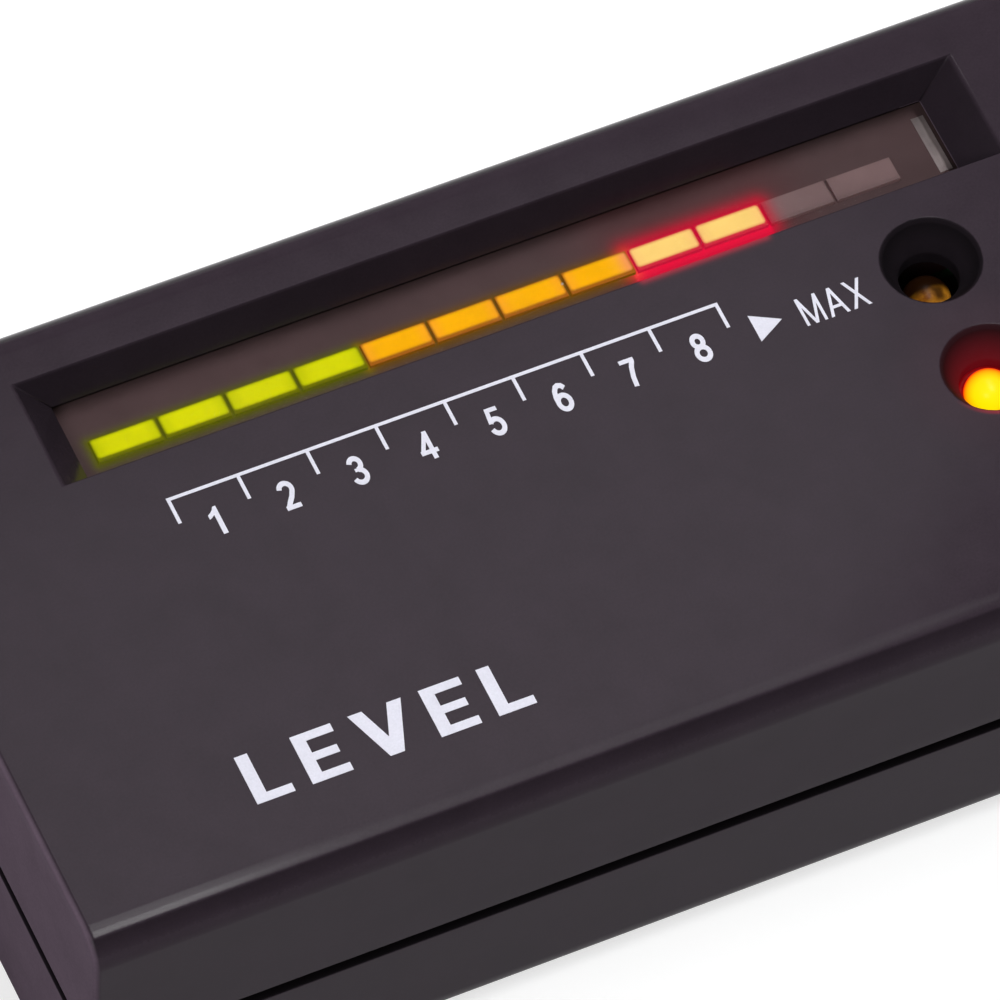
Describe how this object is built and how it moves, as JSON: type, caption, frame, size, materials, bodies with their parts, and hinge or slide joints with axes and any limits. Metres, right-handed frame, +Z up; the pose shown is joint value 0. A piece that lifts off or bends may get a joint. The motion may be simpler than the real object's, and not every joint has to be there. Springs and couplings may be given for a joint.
{
  "type": "handheld gem tester",
  "caption": "Slim handheld gem tester: a plastic box with a recessed bar display, status lamps, a side thumbwheel, a battery door and a sprung metal probe tip.",
  "frame": {"origin": "on the flat underside, below the middle of the overall length and on the middle line", "axes": "+X along the case to the probe tip, +Y to the display side, +Z up out of the printed face"},
  "size_m": [0.1758, 0.0494, 0.025],
  "materials": {
    "case_plastic": "fine satin grain, charcoal",
    "nose_plastic": "satin black",
    "wheel_plastic": "satin black with grip notches",
    "smoked_pane": "smoked, polished",
    "sleeve_steel": "turned and brushed",
    "tip_copper": "bare copper, lightly worn",
    "bush_plastic": "off-white",
    "white_print": "white screen print on the top of the case",
    "strip_steel": "brushed lengthwise",
    "green_lens": "lit yellow-green",
    "amber_lens": "lit amber",
    "red_lens": "lit red",
    "clear_lens": "unlit, milky",
    "ready_lens": "unlit amber",
    "power_lens": "lit red",
    "board_laminate": "green board",
    "dark_plastic": "black",
    "screw_steel": "plated",
    "battery_jacket": "plain dark jacket",
    "red_insulation": "red",
    "black_insulation": "black",
    "white_insulation": "white",
    "grey_foam": "grey foam",
    "capacitor_jacket": "dark blue sleeve",
    "trimmer_plastic": "blue",
    "bead_ceramic": "dark bead"
  },
  "bodies": {
    "case": {"top_case": "case_plastic", "bottom_case": "case_plastic", "nose_cone": "nose_plastic", "window_pane": "smoked_pane", "probe_sleeve": "sleeve_steel", "tip_bush": "bush_plastic", "sleeve_plug": "bush_plastic", "probe_socket": "bush_plastic", "contact_strip_far": "strip_steel", "contact_strip_near": "strip_steel", "green_bars": "green_lens", "amber_bars": "amber_lens", "red_bars": "red_lens", "unlit_bars": "clear_lens", "ready_lamp": "ready_lens", "power_lamp": "power_lens", "main_board": "board_laminate", "bar_housing": "dark_plastic", "lamp_spacers": "dark_plastic", "buzzer": "dark_plastic", "driver_chip": "dark_plastic", "amplifier_chip": "dark_plastic", "battery_snap": "dark_plastic", "wheel_control": "dark_plastic", "case_screws": "screw_steel", "board_screws": "screw_steel", "wheel_clip": "screw_steel", "probe_spring": "screw_steel", "battery": "battery_jacket", "battery_lead_red": "red_insulation", "probe_wire_far": "red_insulation", "battery_lead_black": "black_insulation", "probe_wire_near": "white_insulation", "foam_pad": "grey_foam", "capacitor": "capacitor_jacket", "trimmer": "trimmer_plastic"},
    "wheel": {"thumbwheel": "wheel_plastic"},
    "probe": {"probe_tip": "tip_copper", "probe_heater": "bead_ceramic"},
    "door": {"battery_door": "case_plastic"}
  },
  "joints": [
    {"name": "wheel_turn", "type": "hinge", "parent": "case", "child": "wheel", "pos_m": [0.00015, -0.0144, 0.0163], "axis": [0, 0, 1], "range_deg": [-150, 120]},
    {"name": "tip_press", "type": "slide", "parent": "case", "child": "probe", "axis": [-1, 0, 0], "range_m": [0, 0.002], "stiffness_N_per_m": 250, "springref_m": -0.0012, "deforming": ["probe_spring"]},
    {"name": "door_swing", "type": "hinge", "parent": "case", "child": "door", "pos_m": [-0.02895, -0.00435, 0.002], "axis": [0, -1, 0], "range_deg": [0, 80]}
  ]
}
